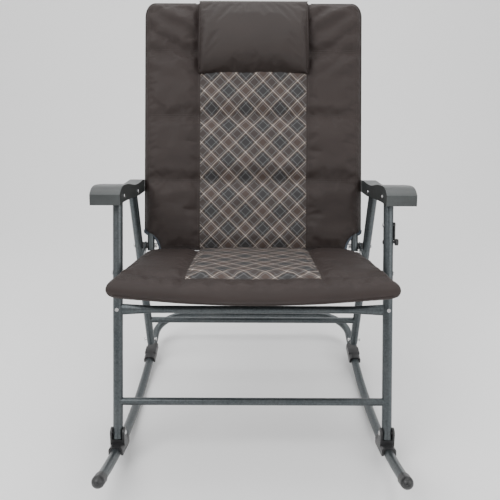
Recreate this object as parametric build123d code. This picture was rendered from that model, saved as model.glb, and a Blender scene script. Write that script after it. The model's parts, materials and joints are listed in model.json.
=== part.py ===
from build123d import *
from math import asin, atan2, cos, degrees, radians, sin, sqrt
import os

# Folding camp rocking chair. Millimetres, +X to the sitter's left, +Y to the back, +Z up.
# The floor is z = 0 and the rockers touch it near y = 0. Side-view points are (y, z).

# ---- frame as a whole
side_x = 302.0            # centre plane of the legs and rockers, each side
leg_r = 11.0              # legs and rockers, outer radius
leg_wall = 1.5
bar_r = 8.5               # crossbars
bar_wall = 1.2
frame_r = 9.5             # seat and back tubes
frame_wall = 1.2
fit = 0.06                # radial clearance of a pivot pin in its hole
gap = 0.4                 # clearance between faces that move past each other
pin_r = 3.0
head_r = 5.0
head_h = 2.2

# ---- rocker base
rocker_radius = 1250.0
rocker_mid_y = 15.0
rocker_front_y = -409.0
rocker_bend_y = 322.5
rocker_corner_r = 95.0

# ---- legs and armrests
arm_front = (-75.0, 580.0)
arm_rear = (89.0, 555.0)
foot_front_y = -228.0
foot_front_rise = 37.5    # pivot above the rocker's centreline
foot_rear_y = 228.0
foot_rear_rise = 48.0
leg_top_over = 10.0       # leg beyond its armrest pin
leg_end_over = 13.0       # leg beyond its foot pin
seat_pin_drop = 171.0     # down the front leg from the armrest pin
back_pin_drop = 163.0     # down the rear leg from the armrest pin
upper_bar_drop = 253.0
lower_bar_rise = 70.0     # up the front leg from the foot pin
rear_bar_rise = 75.0
flare_len = 66.0
flare_half_h = 13.0
flare_half_w = 6.5

# ---- armrest shell
arm_inner_x = 287.6
arm_wall = 3.0
arm_front_w = 66.0
arm_rear_w = 35.0
arm_over_front = 46.0
arm_over_rear = 134.0

# ---- seat
seat_half_w = 285.0
seat_rear_half_w = 281.0
seat_front_y = -309.0
seat_rear_y = 104.0
seat_slope = 9.6
seat_thick = 34.0
seat_rail_x = 268.0
seat_bow = 16.0

# ---- back
back_lean = 18.0
back_half_w = 284.0
back_len = 640.0          # up the back from its pivot to the pad's top edge
back_tube_x = 270.0
back_tube_over = 14.0
back_corner_r = 55.0
back_pad_low = 40.0
back_pad_front = 13.0
back_pad_rear = 12.0
back_bar_up = 75.0
pad_gap = 0.3

# ---- pillow
pillow_half_w = 146.0
pillow_h = 185.0
pillow_thick = 40.0
pillow_wrap = 5.0
flap_h = 150.0

# ---- fold lock on one front leg
lock_drop = 63.0
knob_drop = 101.0
lock_len = 28.0
lock_w = 13.0


def rocker_z(y):
    return leg_r + rocker_radius - sqrt(rocker_radius**2 - (y - rocker_mid_y) ** 2)


def along(p, q, d):
    """The side-view point at distance d from p towards q."""
    ly, lz = q[0] - p[0], q[1] - p[1]
    k = d / sqrt(ly * ly + lz * lz)
    return (p[0] + ly * k, p[1] + lz * k)


foot_front = (foot_front_y, rocker_z(foot_front_y) + foot_front_rise)
foot_rear = (foot_rear_y, rocker_z(foot_rear_y) + foot_rear_rise)
seat_pin = along(arm_front, foot_front, seat_pin_drop)
back_pin = along(arm_rear, foot_rear, back_pin_drop)
slope_dir = (cos(radians(seat_slope)), -sin(radians(seat_slope)))     # front to rear
back_dir = (sin(radians(back_lean)), cos(radians(back_lean)))         # up the back
back_face = (-back_dir[1], back_dir[0])                               # towards the sitter


def seat_at(y, up=0.0):
    """A point of the seat's middle plane, or that far above it."""
    z = seat_pin[1] - (y - seat_pin[0]) * sin(radians(seat_slope)) / cos(radians(seat_slope))
    return (y - up * slope_dir[1], z + up * slope_dir[0])


def back_at(d, out=0.0):
    """A point up the back from its pivot, and out towards the sitter."""
    return (back_pin[0] + back_dir[0] * d + back_face[0] * out,
            back_pin[1] + back_dir[1] * d + back_face[1] * out)


def at(x, p):
    return Vector(x, p[0], p[1])


def rod(p, q, r):
    return Plane(origin=p, z_dir=q - p) * Cylinder(r, (q - p).length, align=(Align.CENTER, Align.CENTER, Align.MIN))


def tube(p, q, r, wall):
    return rod(p, q, r) - rod(p, q, r - wall)


def cross(p, x0, x1, r):
    """A round bar through side-view point p, along X."""
    return rod(at(x0, p), at(x1, p), r)


def head(p, x, sign, r=head_r, h=head_h):
    """A domed rivet or bolt head that stands out of the plane at x."""
    body = rod(at(x, p), at(x + sign * h, p), r)
    return fillet(body.edges().sort_by(Axis.X)[-1 if sign > 0 else 0], 0.7 * h)


def prism(points, x0, x1):
    """A closed side-view outline, extruded from x0 to x1."""
    wire = Polyline(*[at(x0, p) for p in points], close=True)
    return extrude(make_face(wire), amount=x1 - x0, dir=(1, 0, 0))


def side_name(s):
    return "right" if s > 0 else "left"


parts = {}


def leg(top, foot, pins, s):
    """A straight leg with a hole for each pin."""
    body = tube(at(s * side_x, along(top, foot, -leg_top_over)), at(s * side_x, along(foot, top, -leg_end_over)),
                leg_r, leg_wall)
    for p in pins:
        body -= cross(p, s * side_x - 2 * leg_r, s * side_x + 2 * leg_r, pin_r + fit)
    return body


def leg_plug(top, foot, s):
    """A stopper pushed into the leg's open foot end."""
    return rod(at(s * side_x, along(foot, top, -leg_end_over)),
               at(s * side_x, along(foot, top, -leg_end_over + 6.0)), leg_r - leg_wall)


def between_legs(p, top, foot):
    """A crossbar whose ends are coped to the legs."""
    bar = cross(p, -side_x, side_x, bar_r)
    for s in (-1, 1):
        bar -= rod(at(s * side_x, along(top, foot, 0)), at(s * side_x, along(foot, top, 0)), leg_r)
    bar = bar.solids().sort_by(SortBy.VOLUME)[-1]
    return bar - cross(p, -side_x + leg_r + bar_r, side_x - leg_r - bar_r, bar_r - bar_wall)


def flare(p, top, foot, s):
    """The spread end of the upper front crossbar, flattened where it meets the leg."""
    tilt = Plane(origin=at(s * (side_x - leg_r - flare_len), p), x_dir=(0, 1, 0), z_dir=(s, 0, 0))
    wide = Plane(origin=at(s * side_x, p), x_dir=(0, 1, 0), z_dir=(s, 0, 0))
    lean = degrees(atan2(top[0] - foot[0], top[1] - foot[1]))
    round_end = tilt * Circle(bar_r)
    flat_end = wide * (Rot(0, 0, -s * lean) * Ellipse(flare_half_w, flare_half_h))
    body = loft([round_end.face(), flat_end.face()])
    body -= rod(at(s * side_x, top), at(s * side_x, foot), leg_r)
    return body.solids().sort_by(SortBy.VOLUME)[-1]


# ---------------------------------------------------------------- rocker base
def rocker_path():
    """Left arc, rounded corner, rear cross tube, rounded corner, right arc."""
    bend = asin((rocker_bend_y - rocker_mid_y) / rocker_radius)
    go = Vector(0, cos(bend), sin(bend))
    mid_y = (rocker_front_y + rocker_bend_y) / 2
    edges, ends = [], {}
    for s in (-1, 1):
        front = at(s * side_x, (rocker_front_y, rocker_z(rocker_front_y)))
        middle = at(s * side_x, (mid_y, rocker_z(mid_y)))
        start = at(s * side_x, (rocker_bend_y, rocker_z(rocker_bend_y)))
        hub = start - Vector(s * rocker_corner_r, 0, 0)
        knee = hub + (Vector(s, 0, 0) + go) * (rocker_corner_r / sqrt(2))
        ends[s] = hub + go * rocker_corner_r
        arc, turn = ThreePointArc(front, middle, start), ThreePointArc(start, knee, ends[s])
        edges += [arc, turn] if s < 0 else [turn, arc]
    edges.insert(2, Line(ends[-1], ends[1]))
    return Wire([e.edge() for e in edges])


def rocker_end(s):
    """The rocker's front end and the direction that it points there."""
    a = asin((rocker_front_y - rocker_mid_y) / rocker_radius)
    return at(s * side_x, (rocker_front_y, rocker_z(rocker_front_y))), Vector(0, -cos(a), -sin(a))


path = rocker_path()
start_plane = Plane(origin=path @ 0, z_dir=path % 0)
outer = sweep(start_plane * Circle(leg_r), path=path)
inner = sweep(start_plane * Circle(leg_r - leg_wall), path=path)
rocker_tube = outer - inner

cap_r = leg_r + 2.2
cap_sleeve = 22.0
for s in (-1, 1):
    tip, out = rocker_end(s)
    cap = rod(tip - out * cap_sleeve, tip, cap_r) + Pos(tip) * Sphere(cap_r)
    cap += rod(tip + out * (cap_r - 1.0), tip + out * (cap_r + 2.0), 3.0)
    cap -= rod(tip - out * (cap_sleeve + 1.0), tip, leg_r)
    back_part = rod(tip - out * (cap_sleeve + 2 * cap_r), tip - out * cap_sleeve, cap_r + 1.0)
    parts[f"{side_name(s)}_rocker_cap"] = cap - back_part

saddle_arch = 4.0         # wall over the rocker tube
saddle_len = 74.0
saddle_ear = 4.5          # thickness of each ear
ear_r = 12.0


def saddle(pivot, y0, s):
    """A moulded foot that straddles the rocker tube, with an ear each side of the leg."""
    a = degrees(asin((y0 - rocker_mid_y) / rocker_radius))
    base = Plane(origin=at(s * side_x, (y0, rocker_z(y0))), x_dir=(1, 0, 0),
                 z_dir=(0, -sin(radians(a)), cos(radians(a))))
    half_w = leg_r + gap + saddle_ear
    top = leg_r + saddle_arch
    hull = Box(2 * half_w, saddle_len, top + 6.0, align=(Align.CENTER, Align.CENTER, Align.MIN))
    hull = Pos(0, 0, -6.0) * hull
    hull = fillet(hull.edges().filter_by(Axis.Y).group_by(Axis.Z)[-1], 9.0)
    hull = fillet(hull.edges().filter_by(Axis.X).group_by(Axis.Z)[0], 5.0)
    ears = cross(pivot, s * side_x - half_w, s * side_x + half_w, ear_r)
    web_y = 15.0
    web = base * (Pos(0, 0, top / 2) * Box(2 * half_w, 2 * web_y, top))
    reach = along(pivot, (y0, rocker_z(y0)), top)
    skirt = prism([(pivot[0] - ear_r, pivot[1]), (pivot[0] + ear_r, pivot[1]),
                   (reach[0] + web_y, reach[1] - top), (reach[0] - web_y, reach[1] - top)],
                  s * side_x - half_w, s * side_x + half_w)
    body = base * hull + ears + web + skirt
    slot_r = sqrt((leg_end_over) ** 2 + leg_r**2) + gap
    slot = cross(pivot, s * side_x - leg_r - gap, s * side_x + leg_r + gap, slot_r)
    slot += prism([(pivot[0] - slot_r, pivot[1]), (pivot[0] + slot_r, pivot[1]),
                   (pivot[0] + slot_r, pivot[1] + 60), (pivot[0] - slot_r, pivot[1] + 60)],
                  s * side_x - leg_r - gap, s * side_x + leg_r + gap)
    body -= slot
    # the groove for the rocker tube is open below, so the foot lifts straight off
    ring = Pos(s * side_x, rocker_mid_y, leg_r + rocker_radius) * Rot(0, 90, 0) * Torus(rocker_radius, leg_r + gap)
    body -= ring
    groove = base * (Pos(0, 0, -15) * Box(2 * (leg_r + gap), saddle_len + 30, 30))
    body -= groove
    body -= cross(pivot, s * side_x - 2 * half_w, s * side_x + 2 * half_w, pin_r)
    return body.solids().sort_by(SortBy.VOLUME)[-1]


def saddle_bolt(pivot, s):
    half_w = leg_r + gap + saddle_ear
    bolt = cross(pivot, s * side_x - half_w, s * side_x + half_w, pin_r)
    return bolt + head(pivot, s * side_x - half_w, -1) + head(pivot, s * side_x + half_w, 1)


parts["rocker_tube"] = rocker_tube
rear_bolts = []
for s in (-1, 1):
    n = side_name(s)
    parts[f"{n}_rear_saddle"] = saddle(foot_rear, foot_rear_y, s)
    parts[f"{n}_front_saddle"] = saddle(foot_front, foot_front_y, s)
    parts[f"{n}_front_saddle_bolt"] = saddle_bolt(foot_front, s)
    rear_bolts.append(saddle_bolt(foot_rear, s))
parts["rear_saddle_bolts"] = Compound(children=rear_bolts)

# ---------------------------------------------------------------- legs
upper_bar = along(arm_front, foot_front, upper_bar_drop)
lower_bar = along(foot_front, arm_front, lower_bar_rise)
rear_bar = along(foot_rear, arm_rear, rear_bar_rise)
lock_pin = along(arm_front, foot_front, lock_drop)
knob_pin = along(arm_front, foot_front, knob_drop)
for s in (-1, 1):
    n = side_name(s)
    front_pins = [arm_front, seat_pin, foot_front] + ([lock_pin, knob_pin] if s > 0 else [])
    parts[f"{n}_front_leg"] = leg(arm_front, foot_front, front_pins, s)
    parts[f"{n}_rear_leg"] = leg(arm_rear, foot_rear, [arm_rear, back_pin, foot_rear], s)
parts["front_leg_plugs"] = Compound(children=[leg_plug(arm_front, foot_front, s) for s in (-1, 1)])
parts["rear_leg_plugs"] = Compound(children=[leg_plug(arm_rear, foot_rear, s) for s in (-1, 1)])
plain_half = side_x - leg_r - flare_len
upper = cross(upper_bar, -plain_half, plain_half, bar_r)
for s in (-1, 1):
    upper += flare(upper_bar, arm_front, foot_front, s)
parts["upper_front_crossbar"] = upper - cross(upper_bar, -plain_half, plain_half, bar_r - bar_wall)
parts["lower_front_crossbar"] = between_legs(lower_bar, arm_front, foot_front)
parts["rear_crossbar"] = between_legs(rear_bar, arm_rear, foot_rear)

# rivets through the front of each leg into the flared bar ends
leg_len_y, leg_len_z = arm_front[0] - foot_front[0], arm_front[1] - foot_front[1]
leg_tilt = atan2(leg_len_y, leg_len_z)
face_out = Vector(0, -cos(leg_tilt), sin(leg_tilt))
rivets = []
for s in (-1, 1):
    seat_of = at(s * side_x, upper_bar) + face_out * (leg_r - 0.4)
    stud = rod(seat_of, seat_of + face_out * 2.6, 4.2)
    stud -= rod(at(s * side_x, arm_front), at(s * side_x, foot_front), leg_r)
    rivets.append(stud)
parts["crossbar_rivets"] = Compound(children=rivets)

# ---------------------------------------------------------------- armrests
arm_len = sqrt((arm_rear[0] - arm_front[0]) ** 2 + (arm_rear[1] - arm_front[1]) ** 2)
arm_tilt = atan2(arm_rear[1] - arm_front[1], arm_rear[0] - arm_front[0])


def arm_at(t, up):
    """A point of the armrest's side view: t back from the front pin, up from the line of the pins."""
    return (arm_front[0] + t * cos(arm_tilt) - up * sin(arm_tilt),
            arm_front[1] + t * sin(arm_tilt) + up * cos(arm_tilt))


def arm_side(inset, drop, x0, x1):
    """The armrest's side outline as a block from x0 to x1, drawn in by inset and down by drop."""
    rear = arm_len + arm_over_rear - inset
    front = -arm_over_front + inset
    crest = [(front, 6 - inset), (-24, 20 - inset), (10, 24.5 - inset), (70, 23 - inset),
             (arm_len - 45, 18.5 - inset), (arm_len + 5, 19 - inset), (arm_len + 45, 22.5 - inset),
             (rear - 18, 21 - inset), (rear, 13 - inset)]
    under = [(rear, -3 - drop), (arm_len + 15, -11 - drop), (30, -11.4 - drop), (-14, -13 - drop),
             (-24, -19 - drop), (front, -17 - drop)]
    top = Spline(*[at(x0, arm_at(*p)) for p in crest])
    low = Polyline(*[at(x0, arm_at(*p)) for p in [crest[-1]] + under + [crest[0]]])
    return extrude(make_face(top + low), amount=x1 - x0, dir=(1, 0, 0))


def arm_plan(s, inset):
    """The armrest seen from above: wide at the front, narrow at the rear."""
    inner = arm_inner_x + inset
    wide = arm_inner_x + arm_front_w - inset
    slim = arm_inner_x + arm_rear_w - inset
    y = [arm_front[0] + d for d in (-80, 20, arm_len, arm_len + 180)]
    outline = [(inner, y[0]), (wide, y[0]), (wide, y[1]), (slim, y[2]), (slim, y[3]), (inner, y[3])]
    face = make_face(Polyline(*[(s * x, v, 400) for x, v in outline], close=True))
    return extrude(face, amount=300, dir=(0, 0, 1))


for s in (-1, 1):
    x0, x1 = sorted((s * (arm_inner_x - 5), s * (arm_inner_x + arm_front_w + 5)))
    shell = arm_side(0, 0, x0, x1) & arm_plan(s, 0)
    shell -= arm_side(arm_wall, 30, x0, x1) & arm_plan(s, arm_wall)
    rib0 = s * (side_x + leg_r + gap)
    rib1 = s * (side_x + leg_r + gap + arm_wall)
    shell += arm_side(1.0, -1.0, min(rib0, rib1), max(rib0, rib1)) & arm_plan(s, 1.0)
    for p in (arm_front, arm_rear):
        shell -= cross(p, s * (arm_inner_x - 5), s * (side_x + leg_r + 2 * arm_wall), pin_r)
    parts[f"{side_name(s)}_armrest"] = shell.solids().sort_by(SortBy.VOLUME)[-1]
    pins = []
    for p in (arm_front, arm_rear):
        pin = cross(p, s * arm_inner_x, s * (side_x + leg_r + gap + arm_wall), pin_r)
        pins.append(pin + head(p, s * arm_inner_x, -s, 4.5, 2.0))
    parts[f"{side_name(s)}_armrest_pins"] = Compound(children=pins)

# ---------------------------------------------------------------- fold lock
x_face = side_x + leg_r
lock_end = along(lock_pin, knob_pin, lock_len)
lock = cross(lock_pin, x_face + gap, x_face + gap + 3, lock_w / 2)
lock += cross(lock_end, x_face + gap, x_face + gap + 3, lock_w / 2)
lean_y = (lock_w / 2) * cos(leg_tilt)
lean_z = (lock_w / 2) * sin(leg_tilt)
lock += prism([(lock_pin[0] - lean_y, lock_pin[1] + lean_z), (lock_pin[0] + lean_y, lock_pin[1] - lean_z),
               (lock_end[0] + lean_y, lock_end[1] - lean_z), (lock_end[0] - lean_y, lock_end[1] + lean_z)],
              x_face + gap, x_face + gap + 3)
lock -= cross(lock_pin, x_face - 5, x_face + 10, pin_r + fit)
parts["fold_lock"] = lock
lock_rivet = cross(lock_pin, side_x - leg_r, x_face + gap + 3.3, pin_r)
lock_rivet += head(lock_pin, side_x - leg_r, -1, 4.5, 1.6) + head(lock_pin, x_face + gap + 3.3, 1, 4.5, 1.8)
parts["fold_lock_rivet"] = lock_rivet
knob = cross(knob_pin, side_x - leg_r, x_face + 4, pin_r) + head(knob_pin, side_x - leg_r, -1, 4.5, 1.6)
knob_cap = fillet(cross(knob_pin, x_face + 4, x_face + 11, 7.5).edges().filter_by(GeomType.CIRCLE), 1.5)
parts["lock_knob"] = knob + knob_cap

# ---------------------------------------------------------------- seat
rail_start = seat_at(seat_front_y + 16)
rail_end = seat_at(seat_rear_y - 4)
bar_front = seat_at(seat_front_y + 16)
bar_rear = seat_at(seat_rear_y - 22)
rail_rods = {s: rod(at(s * seat_rail_x, rail_start), at(s * seat_rail_x, rail_end), frame_r) for s in (-1, 1)}
low = Vector(0, slope_dir[1], -slope_dir[0]) * seat_bow
front_ends = [at(s * seat_rail_x, bar_front) for s in (-1, 1)]
front_arc = Wire([ThreePointArc(front_ends[0], at(0, bar_front) + low, front_ends[1]).edge()])
front_plane = Plane(origin=front_arc @ 0, z_dir=front_arc % 0)
front_rod = sweep(front_plane * Circle(frame_r), path=front_arc)
front_bore = sweep(front_plane * Circle(frame_r - frame_wall), path=front_arc)
rear_rod = cross(bar_rear, -seat_rail_x, seat_rail_x, frame_r)
coped = rail_rods[-1] + rail_rods[1]
parts["seat_front_bar"] = (front_rod - front_bore - coped).solids().sort_by(SortBy.VOLUME)[-1]
rear_bore = cross(bar_rear, -seat_rail_x, seat_rail_x, frame_r - frame_wall)
parts["seat_rear_bar"] = (rear_rod - rear_bore - coped).solids().sort_by(SortBy.VOLUME)[-1]

hanger_t = 3.0
hanger_x = 282.0
hanger_foot = along(rail_end, rail_start, 12.0)
hanger_pins = []
for s in (-1, 1):
    n = side_name(s)
    p, q = at(s * seat_rail_x, rail_start), at(s * seat_rail_x, rail_end)
    hole = cross(hanger_foot, s * seat_rail_x, s * (seat_rail_x + 30), pin_r)
    parts[f"{n}_seat_rail"] = rail_rods[s] - rod(p, q, frame_r - frame_wall) - hole
    arm_v = (hanger_foot[0] - back_pin[0], hanger_foot[1] - back_pin[1])
    size = sqrt(arm_v[0] ** 2 + arm_v[1] ** 2)
    nv = (-arm_v[1] / size * 10, arm_v[0] / size * 10)
    plate = cross(back_pin, s * hanger_x, s * (hanger_x + hanger_t), 11.0)
    plate += cross(hanger_foot, s * hanger_x, s * (hanger_x + hanger_t), 10.0)
    plate += prism([(back_pin[0] + nv[0], back_pin[1] + nv[1]), (hanger_foot[0] + nv[0], hanger_foot[1] + nv[1]),
                    (hanger_foot[0] - nv[0], hanger_foot[1] - nv[1]), (back_pin[0] - nv[0], back_pin[1] - nv[1])],
                   s * hanger_x, s * (hanger_x + hanger_t))
    plate -= cross(back_pin, s * (hanger_x - 9), s * (hanger_x + 9), pin_r + fit)
    plate -= cross(hanger_foot, s * (hanger_x - 9), s * (hanger_x + 9), pin_r)
    parts[f"{n}_seat_hanger"] = plate
    stud = cross(hanger_foot, s * (seat_rail_x + frame_r - frame_wall), s * (hanger_x + hanger_t), pin_r)
    collar = cross(hanger_foot, s * (seat_rail_x + frame_r), s * hanger_x, pin_r + 3) - rail_rods[s]
    hanger_pins.append(stud + collar + head(hanger_foot, s * (hanger_x + hanger_t), s, 4.5, 1.8))
parts["seat_hanger_rivets"] = Compound(children=hanger_pins)
parts["seat_rail_plugs"] = Compound(children=[
    rod(at(s * seat_rail_x, rail_end), at(s * seat_rail_x, along(rail_end, rail_start, 6)), frame_r - frame_wall)
    for s in (-1, 1)])

outline = [(-seat_half_w, seat_front_y), (seat_half_w, seat_front_y), (seat_rear_half_w, seat_rear_y - 30),
           (seat_rear_half_w - 14, seat_rear_y), (-seat_rear_half_w + 14, seat_rear_y), (-seat_rear_half_w, seat_rear_y - 30)]
h = seat_thick / 2
slab = prism([seat_at(seat_front_y, -h), seat_at(seat_front_y, h), seat_at(seat_rear_y, h), seat_at(seat_rear_y, -h)],
             -seat_half_w, seat_half_w)
plan = extrude(make_face(Polyline(*[(x, y, 300) for x, y in outline], close=True)), amount=300, dir=(0, 0, 1))
pad = slab & plan


def trough(y0, y1, low_t, high_t, x0, x1):
    """A square channel through the pad, between two heights above the seat's middle plane."""
    return prism([seat_at(y0, low_t), seat_at(y0, high_t), seat_at(y1, high_t), seat_at(y1, low_t)], x0, x1)


room = frame_r + pad_gap
for s in (-1, 1):
    side = sorted((s * (seat_rail_x - room), s * (seat_rail_x + room)))
    pad -= trough(seat_front_y + 6, seat_rear_y + 20, -room, room, *side)
    side = sorted((s * seat_rail_x, s * (seat_half_w + 20)))
    pad -= trough(hanger_foot[0] - 8, hanger_foot[0] + 8, -8, 8, *side)
bar_y = seat_rear_y - 22
pad -= trough(bar_y - room - 0.5, bar_y + room + 0.5, -room - 0.4, room + 0.4, -seat_rail_x, seat_rail_x)
# the front bar bows down, so its channel is open below
bar_y = seat_front_y + 16
pad -= trough(bar_y - room - 1.5, bar_y + room + 1.5, -seat_thick, room + 0.8, -seat_rail_x, seat_rail_x)
parts["seat_pad"] = pad.solids().sort_by(SortBy.VOLUME)[-1]

stub_in = seat_half_w + 1.0
seat_bolts = []
for s in (-1, 1):
    bolt = cross(seat_pin, s * stub_in, s * (side_x + leg_r), pin_r)
    bolt += head(seat_pin, s * (side_x + leg_r), s) + cross(seat_pin, s * stub_in, s * (side_x - leg_r), 7.0)
    seat_bolts.append(bolt)
parts["seat_pivot_bolts"] = Compound(children=seat_bolts)

# ---------------------------------------------------------------- back
top_d = back_len - frame_r - 4.0


def back_path():
    """Up one side, over the top and down the other side."""
    r = back_corner_r
    points, turns = {}, {}
    for s in (-1, 1):
        low_end = at(s * back_tube_x, back_at(-back_tube_over))
        shoulder = at(s * back_tube_x, back_at(top_d - r))
        crown = at(s * (back_tube_x - r), back_at(top_d))
        hub = at(s * (back_tube_x - r), back_at(top_d - r))
        knee = hub + ((shoulder - hub).normalized() + (crown - hub).normalized()) * (r / sqrt(2))
        points[s] = (low_end, shoulder, crown)
        turns[s] = ThreePointArc(shoulder, knee, crown) if s < 0 else ThreePointArc(crown, knee, shoulder)
    run = [Line(points[-1][0], points[-1][1]), turns[-1], Line(points[-1][2], points[1][2]), turns[1],
           Line(points[1][1], points[1][0])]
    return Wire([e.edge() for e in run])


back_wire = back_path()
back_plane = Plane(origin=back_wire @ 0, z_dir=back_wire % 0)
hoop = sweep(back_plane * Circle(frame_r), path=back_wire)
hoop -= sweep(back_plane * Circle(frame_r - frame_wall), path=back_wire)
back_bar = back_at(back_bar_up)
hoop_legs = [rod(at(s * back_tube_x, back_at(-back_tube_over)), at(s * back_tube_x, back_at(top_d - back_corner_r)), frame_r)
             for s in (-1, 1)]
for s in (-1, 1):
    hoop -= cross(back_pin, s * (back_tube_x - 20), s * (back_tube_x + 20), pin_r + fit)
parts["back_tube"] = hoop
lower = cross(back_bar, -back_tube_x, back_tube_x, bar_r)
lower -= cross(back_bar, -back_tube_x + 12, back_tube_x - 12, bar_r - bar_wall)
parts["back_lower_bar"] = (lower - hoop_legs[0] - hoop_legs[1]).solids().sort_by(SortBy.VOLUME)[-1]
parts["back_tube_plugs"] = Compound(children=[
    rod(at(s * back_tube_x, back_at(-back_tube_over)), at(s * back_tube_x, back_at(-back_tube_over + 6)),
        frame_r - frame_wall) for s in (-1, 1)])

notch = 44.0
chamfer_w, chamfer_h = 24.0, 35.0
face_plane = Plane(origin=at(0, back_pin), x_dir=(1, 0, 0), z_dir=Vector(0, *back_face))
rim = [(-back_half_w + notch, back_pad_low - 26), (back_half_w - notch, back_pad_low - 26),
       (back_half_w - notch, back_pad_low), (back_half_w, back_pad_low + 4),
       (back_half_w, back_len - chamfer_h), (back_half_w - chamfer_w, back_len),
       (-back_half_w + chamfer_w, back_len), (-back_half_w, back_len - chamfer_h),
       (-back_half_w, back_pad_low + 4), (-back_half_w + notch, back_pad_low)]
rim_face = make_face(Polyline(*[at(x, back_at(d)) for x, d in rim], close=True))
out_dir = Vector(0, *back_face)
back_pad = extrude(rim_face, amount=back_pad_front, dir=out_dir)
back_pad += extrude(rim_face, amount=back_pad_rear, dir=out_dir * -1)
back_pad -= sweep(back_plane * Circle(frame_r + pad_gap), path=back_wire)
back_pad -= cross(back_bar, -back_tube_x, back_tube_x, bar_r + pad_gap)
parts["back_pad"] = back_pad.solids().sort_by(SortBy.VOLUME)[-1]

inner_x = back_tube_x - frame_r
back_bolts, spacers, nuts, washers = [], [], [], []
for s in (-1, 1):
    bolt = cross(back_pin, s * (inner_x - 7), s * (side_x + leg_r), pin_r)
    back_bolts.append(bolt + head(back_pin, s * (side_x + leg_r), s, 5.5, 3.0))
    spacers.append(cross(back_pin, s * (hanger_x + hanger_t + 0.3), s * (side_x - leg_r), 9.0)
                   - cross(back_pin, s * hanger_x, s * side_x, pin_r)
                   - rod(at(s * side_x, arm_rear), at(s * side_x, foot_rear), leg_r))
    nut = cross(back_pin, s * (inner_x - 7), s * (inner_x - 1), 6.5)
    nuts.append(nut - cross(back_pin, s * (inner_x - 9), s * inner_x, pin_r))
    washers.append(cross(back_pin, s * (back_tube_x + frame_r + 0.3), s * (hanger_x - 0.3), 8.0)
                   - cross(back_pin, s * inner_x, s * side_x, pin_r))
parts["back_pivot_bolts"] = Compound(children=back_bolts)
parts["back_pivot_spacers"] = Compound(children=spacers)
parts["back_pivot_nuts"] = Compound(children=nuts)
parts["back_pivot_washers"] = Compound(children=washers)

# ---------------------------------------------------------------- pillow
clear = 1.5
pillow_top = back_len + clear
cushion = prism([back_at(pillow_top - pillow_h, back_pad_front + clear), back_at(pillow_top, back_pad_front + clear),
                 back_at(pillow_top, back_pad_front + clear + pillow_thick * 0.6),
                 back_at(pillow_top - 30, back_pad_front + clear + pillow_thick),
                 back_at(pillow_top - pillow_h + 20, back_pad_front + clear + pillow_thick),
                 back_at(pillow_top - pillow_h, back_pad_front + clear + pillow_thick * 0.6)],
                -pillow_half_w, pillow_half_w)
parts["pillow_cushion"] = cushion
flap_x = pillow_half_w - 8
flap = prism([back_at(pillow_top, back_pad_front + clear + pillow_thick * 0.5), back_at(pillow_top, -back_pad_rear - clear),
              back_at(pillow_top - flap_h, -back_pad_rear - clear), back_at(pillow_top - flap_h, -back_pad_rear - clear - pillow_wrap),
              back_at(pillow_top + pillow_wrap, -back_pad_rear - clear - pillow_wrap),
              back_at(pillow_top + pillow_wrap, back_pad_front + clear + pillow_thick * 0.5)], -flap_x, flap_x)
parts["pillow_flap"] = flap

os.makedirs("parts", exist_ok=True)
for name, solid in parts.items():
    export_step(solid, f"parts/{name}.step")
    print(name, round(solid.volume), "mm3")
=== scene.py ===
import json
import math

import bmesh
import bpy
from mathutils import Matrix, Vector, noise
from mathutils.bvhtree import BVHTree


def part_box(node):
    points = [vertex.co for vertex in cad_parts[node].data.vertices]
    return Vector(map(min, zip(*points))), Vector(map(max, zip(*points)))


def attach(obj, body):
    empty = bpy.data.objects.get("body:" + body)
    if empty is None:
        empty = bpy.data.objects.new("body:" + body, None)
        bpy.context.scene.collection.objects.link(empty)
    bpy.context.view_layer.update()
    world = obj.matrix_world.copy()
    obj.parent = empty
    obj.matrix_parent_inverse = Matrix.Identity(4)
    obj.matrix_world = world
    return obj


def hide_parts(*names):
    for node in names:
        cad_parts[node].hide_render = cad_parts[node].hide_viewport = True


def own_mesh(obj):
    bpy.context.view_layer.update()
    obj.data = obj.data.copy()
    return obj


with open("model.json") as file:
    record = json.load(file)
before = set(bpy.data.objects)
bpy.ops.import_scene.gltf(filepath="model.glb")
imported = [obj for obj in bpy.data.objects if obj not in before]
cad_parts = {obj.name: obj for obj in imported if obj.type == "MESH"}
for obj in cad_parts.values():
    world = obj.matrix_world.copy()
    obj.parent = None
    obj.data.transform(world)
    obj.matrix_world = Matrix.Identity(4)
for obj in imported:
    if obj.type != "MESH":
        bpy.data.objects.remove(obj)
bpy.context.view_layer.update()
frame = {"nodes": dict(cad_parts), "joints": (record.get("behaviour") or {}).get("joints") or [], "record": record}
nodes = frame["nodes"]
joints = {j["name"]: j for j in frame["joints"]}

# Camera
camera = {"place": (-0.004, -1.385, 0.880), "pitch": 18.0, "roll": 0.2, "lens": 43.2, "sensor": 36.0, "shift": -0.0025}


def makeCamera():
    data = bpy.data.cameras.new("camera")
    data.lens = camera["lens"]
    data.sensor_width = camera["sensor"]
    data.shift_x = camera["shift"]
    eye = bpy.data.objects.new("camera", data)
    bpy.context.collection.objects.link(eye)
    turn = Matrix.Rotation(math.radians(90 - camera["pitch"]), 4, "X") @ Matrix.Rotation(math.radians(camera["roll"]), 4, "Z")
    eye.matrix_world = Matrix.Translation(camera["place"]) @ turn
    bpy.context.scene.camera = eye


makeCamera()

# Places taken from the frame
seatPivot = Vector(joints["seat_fold"]["pos_m"])
up = Vector(joints["pillow_lift"]["axis"]).normalized()        # up the back
out = Vector((0, -up.z, up.y))                                 # from the back towards the sitter
railLow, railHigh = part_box("left_seat_rail")
slope = math.radians(9.6)
seatBack = Vector((0, math.cos(slope), -math.sin(slope)))      # front to rear along the seat
seatUp = Vector((0, math.sin(slope), math.cos(slope)))
print("frame loaded, pivot", tuple(round(v, 3) for v in seatPivot))


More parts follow.
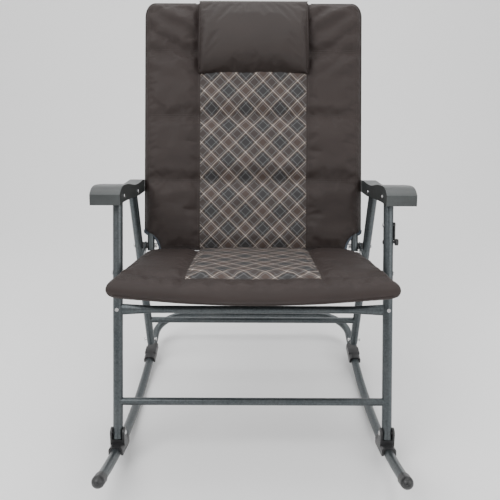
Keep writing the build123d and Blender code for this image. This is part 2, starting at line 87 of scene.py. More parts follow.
# Small helpers
def link(name, mesh):
    piece = bpy.data.objects.new(name, mesh)
    bpy.context.collection.objects.link(piece)
    return piece


def smooth(piece):
    for face in piece.data.polygons:
        face.use_smooth = True


# The evaluated piece as a mesh with no modifiers
def plain(piece):
    graph = bpy.context.evaluated_depsgraph_get()
    mesh = bpy.data.meshes.new_from_object(piece.evaluated_get(graph))
    old = piece.data
    piece.modifiers.clear()
    piece.data = mesh
    if old.users == 0:
        bpy.data.meshes.remove(old)
    return piece


def fromBmesh(name, shape):
    mesh = bpy.data.meshes.new(name)
    bmesh.ops.recalc_face_normals(shape, faces=shape.faces)
    shape.to_mesh(mesh)
    shape.free()
    return link(name, mesh)


def ease(t):
    t = min(1.0, max(0.0, t))
    return t * t * (3 - 2 * t)


def bump(x, centre, width):
    return math.exp(-((x - centre) / width) ** 2)


# Shader groups
def makeGroup(name, inputs, outputs):
    group = bpy.data.node_groups.new(name, "ShaderNodeTree")
    for label, kind, value in inputs:
        socket = group.interface.new_socket(name=label, in_out="INPUT", socket_type=kind)
        socket.default_value = value
    for label, kind in outputs:
        group.interface.new_socket(name=label, in_out="OUTPUT", socket_type=kind)
    return group, group.nodes.new("NodeGroupInput"), group.nodes.new("NodeGroupOutput")


def wire(tree, a, b):
    tree.links.new(a, b)


def maths(tree, op, a, b=None, c=None):
    node = tree.nodes.new("ShaderNodeMath")
    node.operation = op
    for i, v in enumerate((a, b, c)):
        if v is None:
            continue
        if isinstance(v, (int, float)):
            node.inputs[i].default_value = v
        else:
            tree.links.new(v, node.inputs[i])
    return node.outputs[0]


def mixColour(tree, factor, a, b, blend="MIX"):
    node = tree.nodes.new("ShaderNodeMix")
    node.data_type = "RGBA"
    node.blend_type = blend
    for socket, v in ((node.inputs[0], factor), (node.inputs[6], a), (node.inputs[7], b)):
        if isinstance(v, (int, float)):
            socket.default_value = v
        elif isinstance(v, tuple):
            socket.default_value = (*v, 1)
        else:
            tree.links.new(v, socket)
    return node.outputs[2]


def noiseOf(tree, vector, scale, detail=3.0, rough=0.5):
    node = tree.nodes.new("ShaderNodeTexNoise")
    node.inputs["Scale"].default_value = scale
    node.inputs["Detail"].default_value = detail
    node.inputs["Roughness"].default_value = rough
    tree.links.new(vector, node.inputs["Vector"])
    return node.outputs["Fac"]


# Two crossing yarns: a height for the bump and a small shade change
def weaveGroup():
    group, start, end = makeGroup("weave", [("Vector", "NodeSocketVector", (0, 0, 0)), ("Pitch", "NodeSocketFloat", 0.0012)],
                                  [("Height", "NodeSocketFloat"), ("Shade", "NodeSocketFloat")])
    split = group.nodes.new("ShaderNodeSeparateXYZ")
    wire(group, start.outputs["Vector"], split.inputs[0])
    waves = []
    for axis in ("X", "Y"):
        turns = maths(group, "DIVIDE", split.outputs[axis], start.outputs["Pitch"])
        waves.append(maths(group, "SINE", maths(group, "MULTIPLY", turns, 2 * math.pi)))
    product = maths(group, "MULTIPLY", waves[0], waves[1])
    wire(group, maths(group, "MULTIPLY_ADD", product, 0.5, 0.5), end.inputs["Height"])
    cloud = noiseOf(group, start.outputs["Vector"], 900, 2)
    wire(group, maths(group, "MULTIPLY_ADD", cloud, 0.5, 0.75), end.inputs["Shade"])
    return group


# Soft dust and handling marks, for hard surfaces
def wearGroup():
    group, start, end = makeGroup("wear", [("Vector", "NodeSocketVector", (0, 0, 0)), ("Amount", "NodeSocketFloat", 0.3)],
                                  [("Mask", "NodeSocketFloat")])
    broad = noiseOf(group, start.outputs["Vector"], 14, 5, 0.62)
    fine = noiseOf(group, start.outputs["Vector"], 160, 3, 0.6)
    both = maths(group, "MULTIPLY", maths(group, "MULTIPLY_ADD", broad, 2.4, -0.9), maths(group, "ADD", fine, 0.3))
    clipped = group.nodes.new("ShaderNodeClamp")
    wire(group, maths(group, "MULTIPLY", both, start.outputs["Amount"]), clipped.inputs["Value"])
    wire(group, clipped.outputs[0], end.inputs["Mask"])
    return group


# One direction of the tartan: t counts metres across the stripes
def tartanGroup():
    group, start, end = makeGroup("tartanStripe", [("Across", "NodeSocketFloat", 0.0), ("Along", "NodeSocketFloat", 0.0),
                                                   ("Repeat", "NodeSocketFloat", 0.0636), ("Wide", "NodeSocketFloat", 0.036)],
                                  [("Bright", "NodeSocketFloat"), ("Thin", "NodeSocketFloat"), ("Dark", "NodeSocketFloat")])
    t = maths(group, "WRAP", start.outputs["Across"], start.outputs["Repeat"], 0.0)
    wide = start.outputs["Wide"]

    def stripe(centre, half):
        away = maths(group, "ABSOLUTE", maths(group, "SUBTRACT", t, centre))
        return maths(group, "LESS_THAN", away, half)

    dash = maths(group, "GREATER_THAN", maths(group, "SINE", maths(group, "MULTIPLY", start.outputs["Along"], 2 * math.pi / 0.0036)), -0.45)
    one = stripe(0.0045, 0.0011)
    two = stripe(maths(group, "SUBTRACT", wide, 0.0045), 0.0011)
    bright = maths(group, "MULTIPLY", maths(group, "MAXIMUM", one, two), dash)
    thin = maths(group, "MAXIMUM", stripe(0.0095, 0.0007), stripe(maths(group, "SUBTRACT", wide, 0.0095), 0.0007))
    thin = maths(group, "MAXIMUM", thin, maths(group, "MAXIMUM", stripe(maths(group, "ADD", wide, 0.005), 0.0007),
                                               stripe(maths(group, "SUBTRACT", start.outputs["Repeat"], 0.005), 0.0007)))
    dark = maths(group, "GREATER_THAN", t, wide)
    for value, label in ((bright, "Bright"), (thin, "Thin"), (dark, "Dark")):
        wire(group, value, end.inputs[label])
    return group


weave, wear, tartan = weaveGroup(), wearGroup(), tartanGroup()


def useGroup(tree, group, **values):
    node = tree.nodes.new("ShaderNodeGroup")
    node.node_tree = group
    for label, v in values.items():
        if isinstance(v, (int, float)):
            node.inputs[label].default_value = v
        else:
            tree.links.new(v, node.inputs[label])
    return node


def startMaterial(name, **sockets):
    material = bpy.data.materials.new(name)
    material.use_nodes = True
    shader = material.node_tree.nodes["Principled BSDF"]
    for label, v in sockets.items():
        shader.inputs[label.replace("_", " ")].default_value = v
    where = material.node_tree.nodes.new("ShaderNodeTexCoord")
    return material, material.node_tree, shader, where


def addBump(tree, shader, height, distance, strength=1.0):
    node = tree.nodes.new("ShaderNodeBump")
    node.inputs["Distance"].default_value = distance
    node.inputs["Strength"].default_value = strength
    tree.links.new(height, node.inputs["Height"])
    tree.links.new(node.outputs[0], shader.inputs["Normal"])


# Materials
def hammeredSteel():
    material, tree, shader, where = startMaterial("hammeredSteel", Metallic=0.6)
    place = where.outputs["Object"]
    cells = tree.nodes.new("ShaderNodeTexVoronoi")
    cells.inputs["Scale"].default_value = 260
    cells.feature = "SMOOTH_F1"
    wire(tree, place, cells.inputs["Vector"])
    mask = useGroup(tree, wear, Vector=place, Amount=0.6).outputs["Mask"]
    colour = mixColour(tree, cells.outputs["Distance"], (0.085, 0.098, 0.104), (0.030, 0.037, 0.041))
    wire(tree, mixColour(tree, mask, colour, (0.12, 0.125, 0.125)), shader.inputs["Base Color"])
    wire(tree, maths(tree, "MULTIPLY_ADD", mask, 0.22, 0.30), shader.inputs["Roughness"])
    addBump(tree, shader, cells.outputs["Distance"], 0.0004, 0.55)
    return material


def mouldedPlastic(name, dark, light, grain, rough):
    material, tree, shader, where = startMaterial(name)
    place = where.outputs["Object"]
    speck = noiseOf(tree, place, grain, 4, 0.65)
    mask = useGroup(tree, wear, Vector=place, Amount=0.8).outputs["Mask"]
    colour = mixColour(tree, speck, dark, light)
    wire(tree, mixColour(tree, mask, colour, tuple(1.5 * c + 0.01 for c in light)), shader.inputs["Base Color"])
    wire(tree, maths(tree, "MULTIPLY_ADD", mask, 0.2, rough), shader.inputs["Roughness"])
    addBump(tree, shader, speck, 0.0003, 0.5)
    return material


def platedSteel():
    material, tree, shader, where = startMaterial("platedSteel", Metallic=1.0)
    mask = useGroup(tree, wear, Vector=where.outputs["Object"], Amount=1.0).outputs["Mask"]
    wire(tree, mixColour(tree, mask, (0.72, 0.73, 0.74), (0.42, 0.40, 0.37)), shader.inputs["Base Color"])
    wire(tree, maths(tree, "MULTIPLY_ADD", mask, 0.35, 0.2), shader.inputs["Roughness"])
    return material


# The colour of the plain brown cloth, with its yarn
def brownCloth(tree, spot, place):
    yarn = useGroup(tree, weave, Vector=spot, Pitch=0.0011)
    tone = noiseOf(tree, place, 9, 4, 0.6)
    colour = mixColour(tree, tone, (0.019, 0.0125, 0.0110), (0.032, 0.0220, 0.0195))
    shaded = mixColour(tree, 0.6, colour, yarn.outputs["Shade"], "MULTIPLY")
    return shaded, yarn


# Brown cloth with a tartan panel between low and high along the pad, on its upper face
def padCloth(name, halfWide, low, high):
    material, tree, shader, where = startMaterial(name, Roughness=0.62, Specular_IOR_Level=0.35)
    spot, place = where.outputs["UV"], where.outputs["Object"]
    brown, yarn = brownCloth(tree, spot, place)
    turn = tree.nodes.new("ShaderNodeMapping")
    turn.inputs["Rotation"].default_value = (0, 0, math.radians(45))
    wire(tree, spot, turn.inputs["Vector"])
    turned = tree.nodes.new("ShaderNodeSeparateXYZ")
    wire(tree, turn.outputs[0], turned.inputs[0])
    one = useGroup(tree, tartan, Across=turned.outputs["X"], Along=turned.outputs["Y"])
    two = useGroup(tree, tartan, Across=turned.outputs["Y"], Along=turned.outputs["X"])
    twill = maths(tree, "SINE", maths(tree, "MULTIPLY", turned.outputs["X"], 2 * math.pi / 0.0016))
    other = maths(tree, "SINE", maths(tree, "MULTIPLY", turned.outputs["Y"], 2 * math.pi / 0.0016))
    hatch = maths(tree, "MULTIPLY_ADD", maths(tree, "MULTIPLY", twill, other), 0.5, 0.5)
    bands = maths(tree, "MULTIPLY", maths(tree, "ADD", one.outputs["Dark"], two.outputs["Dark"]), 0.5)
    cloth = mixColour(tree, bands, (0.052, 0.033, 0.027), (0.012, 0.015, 0.018))
    cloth = mixColour(tree, maths(tree, "MULTIPLY", hatch, 0.40), cloth, (0.085, 0.068, 0.060))
    thin = maths(tree, "MAXIMUM", one.outputs["Thin"], two.outputs["Thin"])
    cloth = mixColour(tree, maths(tree, "MULTIPLY", thin, 0.6), cloth, (0.17, 0.17, 0.17))
    bright = maths(tree, "MAXIMUM", one.outputs["Bright"], two.outputs["Bright"])
    crossing = maths(tree, "MULTIPLY", one.outputs["Bright"], two.outputs["Bright"])
    cloth = mixColour(tree, maths(tree, "MULTIPLY", bright, 0.75), cloth, (0.44, 0.39, 0.34))
    cloth = mixColour(tree, crossing, cloth, (0.85, 0.82, 0.76))
    flat = tree.nodes.new("ShaderNodeSeparateXYZ")
    wire(tree, spot, flat.inputs[0])
    inside = maths(tree, "LESS_THAN", maths(tree, "ABSOLUTE", flat.outputs["X"]), halfWide)
    above = maths(tree, "GREATER_THAN", flat.outputs["Y"], low)
    below = maths(tree, "LESS_THAN", flat.outputs["Y"], high)
    face = tree.nodes.new("ShaderNodeAttribute")
    face.attribute_name = "upper"
    upper = maths(tree, "GREATER_THAN", face.outputs["Fac"], 0.5)
    panel = maths(tree, "MULTIPLY", maths(tree, "MULTIPLY", inside, upper), maths(tree, "MULTIPLY", above, below))
    wire(tree, mixColour(tree, panel, brown, cloth), shader.inputs["Base Color"])
    crease = noiseOf(tree, place, 38, 4, 0.55)
    height = maths(tree, "ADD", maths(tree, "MULTIPLY", yarn.outputs["Height"], 0.12), crease)
    addBump(tree, shader, height, 0.0022, 0.5)
    return material


def plainCloth(name, dark, light, pitch):
    material, tree, shader, where = startMaterial(name, Roughness=0.6, Specular_IOR_Level=0.35)
    place = where.outputs["Object"]
    yarn = useGroup(tree, weave, Vector=where.outputs["UV"], Pitch=pitch)
    tone = noiseOf(tree, place, 12, 4, 0.6)
    colour = mixColour(tree, tone, dark, light)
    wire(tree, mixColour(tree, 0.5, colour, yarn.outputs["Shade"], "MULTIPLY"), shader.inputs["Base Color"])
    addBump(tree, shader, maths(tree, "ADD", maths(tree, "MULTIPLY", yarn.outputs["Height"], 0.2), tone), 0.0012, 0.4)
    return material


panel = {"half": 0.139, "backTop": 0.60, "seatFront": -0.352, "seams": (0.171, 0.341, 0.511)}
steel = hammeredSteel()
blackPlastic = mouldedPlastic("blackPlastic", (0.008, 0.008, 0.009), (0.022, 0.022, 0.023), 900, 0.36)
armPlastic = mouldedPlastic("armPlastic", (0.022, 0.025, 0.025), (0.042, 0.047, 0.047), 700, 0.36)
plated = platedSteel()
backCloth = padCloth("backCloth", panel["half"], -1.0, panel["backTop"])
seatCloth = padCloth("seatCloth", panel["half"], -1.0, panel["seatFront"])
pillowCloth = plainCloth("pillowCloth", (0.018, 0.0125, 0.0110), (0.029, 0.0205, 0.0180), 0.0009)
tapeCloth = plainCloth("tapeCloth", (0.045, 0.055, 0.070), (0.10, 0.12, 0.15), 0.0016)
finish = {"steel_tube": steel, "black_plastic": blackPlastic, "bright_steel": plated, "arm_plastic": armPlastic,
          "seat_fabric": backCloth, "pillow_fabric": pillowCloth}
for row in frame["record"]["subparts"]:
    piece = nodes[row["node"]]
    piece.data.materials.clear()
    piece.data.materials.append(finish[row["material_slot"]])
print("materials made")


# Padded pieces
# A closed piece from place(u, v, side), with u and v from 0 to 1 and side +1 for the upper face, -1 for the lower
def slab(name, count, place):
    across, along = count
    shape = bmesh.new()
    rows = {}
    for side in (1, -1):
        rows[side] = [[shape.verts.new(place(i / across, j / along, side)) for i in range(across + 1)] for j in range(along + 1)]
        for j in range(along):
            for i in range(across):
                a, b, c, d = rows[side][j][i], rows[side][j][i + 1], rows[side][j + 1][i + 1], rows[side][j + 1][i]
                shape.faces.new((a, b, c, d) if side > 0 else (d, c, b, a))
    ring = [(0, i) for i in range(across)] + [(j, across) for j in range(along)]
    ring += [(along, i) for i in range(across, 0, -1)] + [(j, 0) for j in range(along, 0, -1)]
    for (j, i), (l, k) in zip(ring, ring[1:] + ring[:1]):
        shape.faces.new((rows[1][j][i], rows[-1][j][i], rows[-1][l][k], rows[1][l][k]))
    return fromBmesh(name, shape)


def remesh(piece, size):
    step = piece.modifiers.new("remesh", "REMESH")
    step.mode = "VOXEL"
    step.voxel_size = size
    step.use_smooth_shade = True
    return plain(piece)


# Cloth simulation under a little pressure. held(co) is how firmly a point stays put, most is the farthest a point moves
def inflate(piece, held, pressure, slack, most, frames=20):
    scene = bpy.context.scene
    before = [v.co.copy() for v in piece.data.vertices]
    grip = piece.vertex_groups.new(name="grip")
    for i, co in enumerate(before):
        grip.add([i], held(co), "REPLACE")
    cloth = piece.modifiers.new("cloth", "CLOTH")
    cloth.settings.quality = 5
    cloth.settings.mass = 0.25
    cloth.settings.tension_stiffness = 12
    cloth.settings.compression_stiffness = 12
    cloth.settings.shear_stiffness = 4
    cloth.settings.bending_stiffness = 0.6
    cloth.settings.air_damping = 4
    cloth.settings.vertex_group_mass = "grip"
    cloth.settings.pin_stiffness = 3
    cloth.settings.shrink_min = -slack
    cloth.settings.use_pressure = True
    cloth.settings.uniform_pressure_force = pressure
    cloth.settings.effector_weights.gravity = 0
    cloth.collision_settings.use_collision = False
    cloth.point_cache.frame_start = 1
    cloth.point_cache.frame_end = frames
    for f in range(1, frames + 1):
        scene.frame_set(f)
    plain(piece)
    scene.frame_set(1)
    for v, old in zip(piece.data.vertices, before):
        way = v.co - old
        if way.length > most:
            v.co = old + way * (most / way.length)
    return piece


def refine(piece):
    step = piece.modifiers.new("finer", "SUBSURF")
    step.levels = step.render_levels = 1
    plain(piece)
    smooth(piece)
    return piece


# Writes the flat-cloth place of each point as UV, and which points are on the upper face
def spread(piece, spot, upper):
    mesh = piece.data
    layer = mesh.uv_layers.new(name="flat")
    spots = [spot(v.co) for v in mesh.vertices]
    for loop in mesh.loops:
        layer.data[loop.index].uv = spots[loop.vertex_index]
    face = mesh.attributes.new("upper", "FLOAT", "POINT")
    face.data.foreach_set("value", [1.0 if upper(v.co, v.normal) else 0.0 for v in mesh.vertices])


# Back pad
back = {"halfWide": 0.284, "low": -0.014, "top": 0.640, "front": 0.0135, "rear": 0.0125, "puff": 0.008,
        "notchWide": 0.044, "notchHigh": 0.048, "chamferWide": 0.024, "chamferHigh": 0.035, "voxel": 0.006}


# Half width of the back pad at height d up the back
def backHalf(d):
    wide = back["halfWide"]
    high = d - (back["top"] - back["chamferHigh"])
    if high > 0:
        turn = min(1.0, high / back["chamferHigh"])
        wide -= back["chamferWide"] * (1 - math.sqrt(max(0.0, 1 - turn * turn)))
    low = (back["low"] + back["notchHigh"]) - d
    if low > 0:
        turn = min(1.0, low / back["notchHigh"])
        wide -= back["notchWide"] * math.sqrt(max(0.0, 1 - (1 - turn) ** 2)) * 0.9
    return wide


def backPoint(x, d, depth):
    return Vector((x, 0, 0)) + Vector((0, seatPivot.y, seatPivot.z)) + up * d + out * depth


# Long folds running from the top corners down to the pillow, and short ones pulled in by the side seams
def creases(x, d):
    reach = ease((d - 0.40) / 0.12) * ease((abs(x) - 0.10) / 0.06)
    across = (d - 0.64) + (0.284 - abs(x)) * 0.62
    wander = 0.010 * noise.noise(Vector((x * 14, d * 14, 2.2)))
    diagonal = math.sin((across + wander) * 2 * math.pi / 0.052) * 0.0034 * reach
    middle = 0
    for height in panel["seams"]:
        near = bump(d, height, 0.055) * ease((abs(x) - 0.15) / 0.05)
        middle += near * 0.0030 * noise.noise(Vector((x * 20, (d - height) * 10 + abs(x) * 16, height * 40)))
    return diagonal + middle


def backPlace(u, v, side):
    d = back["low"] + (back["top"] - back["low"]) * v
    wide = backHalf(d)
    x = wide * (2 * u - 1)
    edge = min((wide - abs(x)) / 0.030, (d - back["low"]) / 0.030, (back["top"] - d) / 0.030, 1.0)
    roll = math.sqrt(max(0.0, 1 - (1 - max(0.0, edge)) ** 2))
    seam = 0
    for height in panel["seams"]:
        seam = max(seam, bump(d, height, 0.016) * (1 - 0.75 * ease((abs(x) - 0.145) / 0.03)))
    stitch = bump(abs(x), 0.142, 0.010) * 0.5
    if side > 0:
        depth = back["front"] * (0.45 + 0.55 * roll) + back["puff"] * roll * (1 - seam) * (1 - stitch) - 0.004 * seam
        depth += roll * (0.003 * noise.noise(Vector((x * 9, d * 22, 3.1))) + 0.0016 * noise.noise(Vector((x * 30, d * 40, 7.7))))
        depth += roll * creases(x, d)
    else:
        depth = -back["rear"] * (0.45 + 0.55 * roll) - 0.003 * roll
    return backPoint(x, d, depth)


def backHeld(co):
    local = co - seatPivot
    d, depth = local.dot(up), local.dot(out)
    firm = max(bump(d, height, 0.006) for height in panel["seams"])
    firm = max(firm, bump(abs(co.x), 0.142, 0.005) * 0.7)
    rim = min(backHalf(d) - abs(co.x), d - back["low"], back["top"] - d)
    if rim < 0.010:
        firm = 1.0
    if depth < -0.004:
        firm = max(firm, 0.7)
    return min(1.0, firm)


# The cushions face each other in the fold; here each piece only gets its own copy of its mesh, and nothing is flattened
def flatten(piece, body):
    if body == "back":
        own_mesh(piece)
    elif body == "seat":
        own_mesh(piece)


def makeBack():
    piece = slab("backCushion", (80, 90), backPlace)
    remesh(piece, back["voxel"])
    inflate(piece, backHeld, 4.0, 0.03, 0.005)
    refine(piece)
    spread(piece, lambda co: (co.x, (co - seatPivot).dot(up)), lambda co, n: n.dot(out) > 0.1)
    piece.data.materials.append(backCloth)
    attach(piece, "back")
    flatten(piece, "back")
    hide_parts("back_pad")
    print("back cushion", len(piece.data.polygons))
    return piece


backCushion = makeBack()

# Seat pad
seat = {"halfFront": 0.288, "halfRear": 0.281, "front": -0.309, "rear": 0.104, "puff": 0.010,
        "under": 0.019, "droop": 0.020, "voxel": 0.006}
railMid = Vector((0, (railLow.y + railHigh.y) / 2, (railLow.z + railHigh.z) / 2))
seatLong = (seat["rear"] - seat["front"]) / math.cos(slope)


# Distance back from the front edge along the seat, and height over its middle plane
def seatSpot(co):
    local = co - railMid
    return local.dot(seatBack) + (railMid.y - seat["front"]) / math.cos(slope), local.dot(seatUp)


def seatPoint(x, s, depth):
    return Vector((x, 0, 0)) + railMid + seatBack * (s - (railMid.y - seat["front"]) / math.cos(slope)) + seatUp * depth


def seatPlace(u, v, side):
    s = seatLong * v
    wide = seat["halfFront"] + (seat["halfRear"] - seat["halfFront"]) * v
    x = wide * (2 * u - 1)
    edge = max(0.0, min((wide - abs(x)) / 0.028, s / 0.028, (seatLong - s) / 0.028, 1.0))
    roll = math.sqrt(max(0.0, 1 - (1 - edge) ** 2))
    middle = 1 - (x / wide) ** 2
    sag = seat["droop"] * middle * math.exp(-s / 0.12)
    stitch = bump(abs(x), 0.142, 0.010) * 0.4 + bump(s, 0.067, 0.010) * 0.45
    if side > 0:
        lift = 0.0155 * (0.4 + 0.6 * roll) + seat["puff"] * roll * (0.35 + 0.65 * middle) * (1 - min(1.0, stitch))
        lift += roll * (0.0025 * noise.noise(Vector((x * 8, s * 14, 1.3))) + 0.0016 * noise.noise(Vector((x * 28, s * 34, 5.2))))
        return seatPoint(x, s, lift - sag)
    return seatPoint(x, s, -seat["under"] * (0.35 + 0.65 * roll) - sag * 0.8)


def seatHeld(co):
    s, depth = seatSpot(co)
    firm = max(bump(abs(co.x), 0.142, 0.005) * 0.7, bump(s, 0.067, 0.005) * 0.7)
    if min(0.285 - abs(co.x), s, seatLong - s) < 0.010:
        firm = 1.0
    if depth < -0.004:
        firm = max(firm, 0.7)
    return min(1.0, firm)


def makeSeat():
    piece = slab("seatCushion", (80, 60), seatPlace)
    remesh(piece, seat["voxel"])
    inflate(piece, seatHeld, 4.0, 0.03, 0.005)
    refine(piece)
    spread(piece, lambda co: (co.x, -seatSpot(co)[0] - 0.285), lambda co, n: n.dot(seatUp) > 0.1)
    piece.data.materials.append(seatCloth)
    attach(piece, "seat")
    flatten(piece, "seat")
    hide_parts("seat_pad")
    print("seat cushion", len(piece.data.polygons))
    return piece


seatCushion = makeSeat()

# Pillow
pillow = {"halfWide": 0.146, "low": 0.449, "top": 0.638, "deep": 0.043, "behind": 0.020, "flap": 0.494, "corner": 0.020, "voxel": 0.005}


# V runs from the flap's hem behind the back, over the top and down to the pillow's lower edge in front
def pillowPlace(u, v, side):
    x = pillow["halfWide"] * (2 * u - 1)
    face = back["front"] + back["puff"] * 0.6
    rear = -back["rear"] - 0.004
    lengths = (pillow["top"] - pillow["flap"], math.pi / 2 * (face - rear) / 2 + 0.010, pillow["top"] - pillow["low"])
    s = v * sum(lengths)
    thick = 0.004
    bend = (face - rear) / 2
    if s < lengths[0]:
        d, depth, normal = pillow["flap"] + s, rear, (0, -1)
    elif s < lengths[0] + lengths[1]:
        turn = math.pi * (s - lengths[0]) / lengths[1]
        d = pillow["top"] + math.sin(turn) * 0.005
        depth = (face + rear) / 2 - math.cos(turn) * bend
        normal = (math.sin(turn), -math.cos(turn))
        thick = 0.003
    else:
        down = s - lengths[0] - lengths[1]
        d, depth, normal = pillow["top"] - down, face, (0, 1)
        share = down / lengths[2]
        belly = math.sin(math.pi * min(1.0, share * 0.96)) ** 0.62
        lean = 0.50 + 0.50 * ease(share)
        thick = 0.003 + pillow["deep"] * belly * lean
    edge = max(0.0, min(1.0, (pillow["halfWide"] - abs(x)) / pillow["corner"]))
    thick = 0.003 + (thick - 0.003) * math.sqrt(1 - (1 - edge) ** 2)
    if side > 0:
        d, depth = d + normal[0] * thick, depth + normal[1] * thick
    return backPoint(x, d, depth)


def pillowHeld(co):
    local = co - seatPivot
    d, depth = local.dot(up), local.dot(out)
    firm = 0.0
    if pillow["halfWide"] - abs(co.x) < 0.008 or depth < back["front"] + 0.012:
        firm = 1.0
    return firm


def makePillow():
    piece = slab("pillow", (60, 110), pillowPlace)
    remesh(piece, pillow["voxel"])
    inflate(piece, pillowHeld, 4.0, 0.02, 0.006)
    refine(piece)
    spread(piece, lambda co: (co.x, (co - seatPivot).dot(up)), lambda co, n: n.dot(out) > 0.1)
    piece.data.materials.append(pillowCloth)
    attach(piece, "pillow")
    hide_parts("pillow_cushion", "pillow_flap")
    print("pillow", len(piece.data.polygons))
    return piece


pillowPiece = makePillow()


# Tape, piping and stitches
# A round cord through points
def tube(name, points, radius, around=8, closed=False):
    shape = bmesh.new()
    rings = []
    n = len(points)
    for i, p in enumerate(points):
        before = points[(i - 1) % n] if closed or i else points[0]
        after = points[(i + 1) % n] if closed or i < n - 1 else points[-1]
        way = (after - before).normalized()
        side = way.cross(Vector((0.03, 0.11, 1))).normalized()
        if side.length < 0.5:
            side = way.cross(Vector((1, 0, 0))).normalized()
        other = way.cross(side).normalized()
        rings.append([shape.verts.new(p + side * (radius * math.cos(a)) + other * (radius * math.sin(a)))
                      for a in [2 * math.pi * k / around for k in range(around)]])
    pairs = list(zip(rings, rings[1:] + rings[:1])) if closed else list(zip(rings, rings[1:]))
    for one, two in pairs:
        for k in range(around):
            shape.faces.new((one[k], one[(k + 1) % around], two[(k + 1) % around], two[k]))
    if not closed:
        shape.faces.new(rings[0][::-1])
        shape.faces.new(rings[-1])
    piece = fromBmesh(name, shape)
    smooth(piece)
    return piece


def surfaceFinder(piece):
    tree = BVHTree.FromObject(piece, bpy.context.evaluated_depsgraph_get())

    def find(start, way, rest):
        hit = tree.ray_cast(start, way)[0]
        return hit if hit is not None else rest
    return find


def setInput(modifier, label, value):
    for item in modifier.node_group.interface.items_tree:
        if item.item_type == "SOCKET" and item.in_out == "INPUT" and item.name == label:
            modifier[item.identifier] = value


# Stitches laid along a line: one short thread per step, turned to follow it
def stitchTree():
    tree = bpy.data.node_groups.new("stitches", "GeometryNodeTree")
    for label, kind in (("Line", "NodeSocketGeometry"), ("Step", "NodeSocketFloat"), ("Length", "NodeSocketFloat"),
                        ("Radius", "NodeSocketFloat"), ("Thread", "NodeSocketMaterial")):
        tree.interface.new_socket(name=label, in_out="INPUT", socket_type=kind)
    tree.interface.new_socket(name="Stitches", in_out="OUTPUT", socket_type="NodeSocketGeometry")
    new = tree.nodes.new
    start, end = new("NodeGroupInput"), new("NodeGroupOutput")
    curve, even, turn = new("GeometryNodeMeshToCurve"), new("GeometryNodeResampleCurve"), new("FunctionNodeAlignEulerToVector")
    even.mode = "LENGTH"
    turn.axis = "Z"
    tangent, thread = new("GeometryNodeInputTangent"), new("GeometryNodeMeshUVSphere")
    thread.inputs["Segments"].default_value = 6
    thread.inputs["Rings"].default_value = 4
    thread.inputs["Radius"].default_value = 1.0
    size, place = new("ShaderNodeCombineXYZ"), new("GeometryNodeInstanceOnPoints")
    real, paint = new("GeometryNodeRealizeInstances"), new("GeometryNodeSetMaterial")
    wire(tree, start.outputs["Line"], curve.inputs["Mesh"])
    wire(tree, curve.outputs["Curve"], even.inputs["Curve"])
    wire(tree, start.outputs["Step"], even.inputs["Length"])
    wire(tree, even.outputs["Curve"], place.inputs["Points"])
    wire(tree, thread.outputs["Mesh"], place.inputs["Instance"])
    wire(tree, tangent.outputs["Tangent"], turn.inputs["Vector"])
    wire(tree, turn.outputs["Rotation"], place.inputs["Rotation"])
    wire(tree, start.outputs["Radius"], size.inputs["X"])
    wire(tree, start.outputs["Radius"], size.inputs["Y"])
    wire(tree, start.outputs["Length"], size.inputs["Z"])
    wire(tree, size.outputs["Vector"], place.inputs["Scale"])
    wire(tree, place.outputs["Instances"], real.inputs["Geometry"])
    wire(tree, real.outputs["Geometry"], paint.inputs["Geometry"])
    wire(tree, start.outputs["Thread"], paint.inputs["Material"])
    wire(tree, paint.outputs["Geometry"], end.inputs["Stitches"])
    return tree


stitches = stitchTree()
threadMaterial = plainCloth("thread", (0.030, 0.024, 0.021), (0.055, 0.043, 0.038), 0.0005)
sewing = {"step": 0.0042, "length": 0.0015, "radius": 0.0006, "sink": 0.0001, "piping": 0.0028, "tape": 0.0065}


def sew(name, lines, body):
    shape = bmesh.new()
    for line in lines:
        dots = [shape.verts.new(p) for p in line]
        for a, b in zip(dots, dots[1:]):
            shape.edges.new((a, b))
    mesh = bpy.data.meshes.new(name)
    shape.to_mesh(mesh)
    shape.free()
    piece = link(name, mesh)
    row = piece.modifiers.new("stitches", "NODES")
    row.node_group = stitches
    for label, value in (("Step", sewing["step"]), ("Length", sewing["length"]), ("Radius", sewing["radius"]), ("Thread", threadMaterial)):
        setInput(row, label, value)
    plain(piece)
    smooth(piece)
    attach(piece, body)
    flatten(piece, body)
    return piece


def backLine(find, spots):
    return [find(backPoint(x, d, 0.09), -out, backPoint(x, d, 0.014)) + out * sewing["sink"] for x, d in spots]


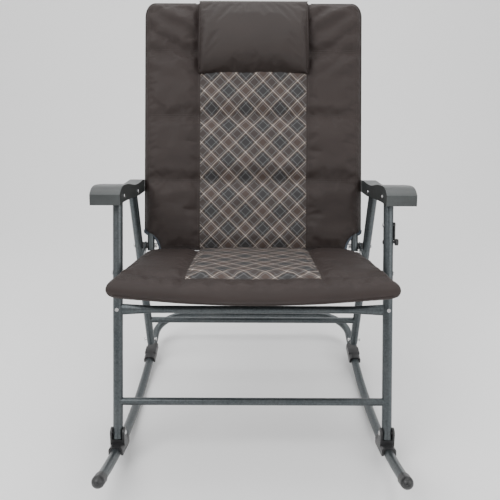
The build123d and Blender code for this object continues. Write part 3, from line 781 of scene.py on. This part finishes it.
def trimBack():
    find = surfaceFinder(backCushion)
    top, low = back["top"] - 0.012, back["low"] + 0.014
    lines = []
    for side in (-1, 1):
        for x in (0.1395, 0.1445):
            lines.append(backLine(find, [(side * x, low + (top - low) * i / 90) for i in range(91)]))
        lines.append(backLine(find, [(side * (backHalf(d) - 0.012), d) for d in [0.05 + (top - 0.05) * i / 90 for i in range(91)]]))
    for height in panel["seams"]:
        for shift in (-0.0022, 0.0022):
            lines.append(backLine(find, [(-0.268 + 0.536 * i / 90, height + shift) for i in range(91)]))
    lines.append(backLine(find, [(-0.225 + 0.45 * i / 80, low) for i in range(81)]))
    sew("backStitches", lines, "back")
    start, wide, high = back["top"] - back["chamferHigh"], back["chamferWide"], back["chamferHigh"]
    spots = [(back["halfWide"], 0.036 + (start - 0.036) * i / 60) for i in range(60)]
    spots += [(back["halfWide"] - wide * (1 - math.cos(a)), start + high * math.sin(a)) for a in [math.pi / 2 * i / 12 for i in range(12)]]
    spots += [(back["halfWide"] - wide - (back["halfWide"] - wide - 0.152) * i / 12, back["top"]) for i in range(13)]
    rim = [backPoint(x + 0.0004, d, 0.001) for x, d in spots]
    for side in (-1, 1):
        edge = tube("leftBackPiping" if side < 0 else "rightBackPiping", [Vector((side * p.x, p.y, p.z)) for p in rim], sewing["piping"])
        edge.data.materials.append(pillowCloth)
        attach(edge, "back")
        flatten(edge, "back")
        steps = [back["low"] + 0.002 + (back["notchHigh"] + 0.006) * i / 20 for i in range(21)]
        corner = [backPoint(side * (backHalf(d) - 0.001), d, 0.001) for d in steps]
        bound = tube("leftNotchTape" if side < 0 else "rightNotchTape", corner, sewing["tape"], 12)
        bound.data.materials.append(tapeCloth)
        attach(bound, "back")
        flatten(bound, "back")


def trimSeat():
    find = surfaceFinder(seatCushion)

    def line(spots):
        return [find(seatPoint(x, s, 0.12), -seatUp, seatPoint(x, s, 0.016)) + seatUp * sewing["sink"] for x, s in spots]

    lines = []
    for side in (-1, 1):
        for x in (0.1395, 0.1445):
            lines.append(line([(side * x, 0.067 + (seatLong - 0.080) * i / 70) for i in range(71)]))
        lines.append(line([(side * 0.270, 0.02 + (seatLong - 0.04) * i / 70) for i in range(71)]))
    for s in (0.0648, 0.0692):
        lines.append(line([(-0.140 + 0.280 * i / 60, s) for i in range(61)]))
    sew("seatStitches", lines, "seat")
    hem = []
    for i in range(101):
        x = -0.272 + 0.544 * i / 100
        s, depth = 0.0, -0.010 - seat["droop"] * (1 - (x / 0.285) ** 2)
        start = seatPoint(x, -0.08, depth)
        hem.append(find(start, seatBack, seatPoint(x, s, depth)) - seatBack * 0.0002)
    edge = tube("frontHem", hem, 0.0022)
    edge.data.materials.append(pillowCloth)
    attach(edge, "seat")
    flatten(edge, "seat")


def trimPillow():
    find = surfaceFinder(pillowPiece)
    for side in (-1, 1):
        spots = [pillow["low"] + 0.010 + (pillow["top"] - 0.012 - pillow["low"] - 0.010) * i / 40 for i in range(41)]
        line = [find(backPoint(side * (pillow["halfWide"] - 0.006), d, 0.12), -out, backPoint(side * 0.14, d, 0.03)) for d in spots]
        edge = tube("leftPillowPiping" if side < 0 else "rightPillowPiping", line, 0.0018)
        edge.data.materials.append(pillowCloth)
        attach(edge, "pillow")


trimBack()
trimSeat()
trimPillow()
print("trim sewn")

# Floor, light, finish
lamps = (("key", (-1.6, -1.8, 2.6), 1.8, 62), ("fill", (2.0, -1.6, 1.6), 2.2, 34), ("top", (0.0, 0.6, 3.0), 2.4, 46))


def makeRoom():
    material, tree, shader, where = startMaterial("paleFloor", Roughness=0.9)
    shader.inputs["Base Color"].default_value = (0.93, 0.93, 0.93, 1)
    shape = bmesh.new()
    turns = [math.pi / 2 * i / 12 for i in range(1, 13)]
    path = [(-4.0, 0.0), (1.6, 0.0)] + [(1.6 + 1.2 * math.sin(a), 1.2 - 1.2 * math.cos(a)) for a in turns] + [(2.8, 5.0)]
    left = [shape.verts.new((-6, y, z - 0.0005)) for y, z in path]
    right = [shape.verts.new((6, y, z - 0.0005)) for y, z in path]
    for i in range(len(path) - 1):
        shape.faces.new((left[i], right[i], right[i + 1], left[i + 1]))
    floor = fromBmesh("floor", shape)
    smooth(floor)
    floor.data.materials.append(material)
    for name, place, size, power in lamps:
        data = bpy.data.lights.new(name, "AREA")
        data.size = size
        data.energy = power
        lamp = bpy.data.objects.new(name, data)
        bpy.context.collection.objects.link(lamp)
        lamp.location = place
        lamp.rotation_euler = (Vector((0, 0, 0.5)) - Vector(place)).to_track_quat("-Z", "Y").to_euler()
    world = bpy.data.worlds.new("sky")
    world.use_nodes = True
    world.node_tree.nodes["Background"].inputs[0].default_value = (1, 1, 1, 1)
    world.node_tree.nodes["Background"].inputs[1].default_value = 0.75
    bpy.context.scene.world = world
    print("room made")


makeRoom()
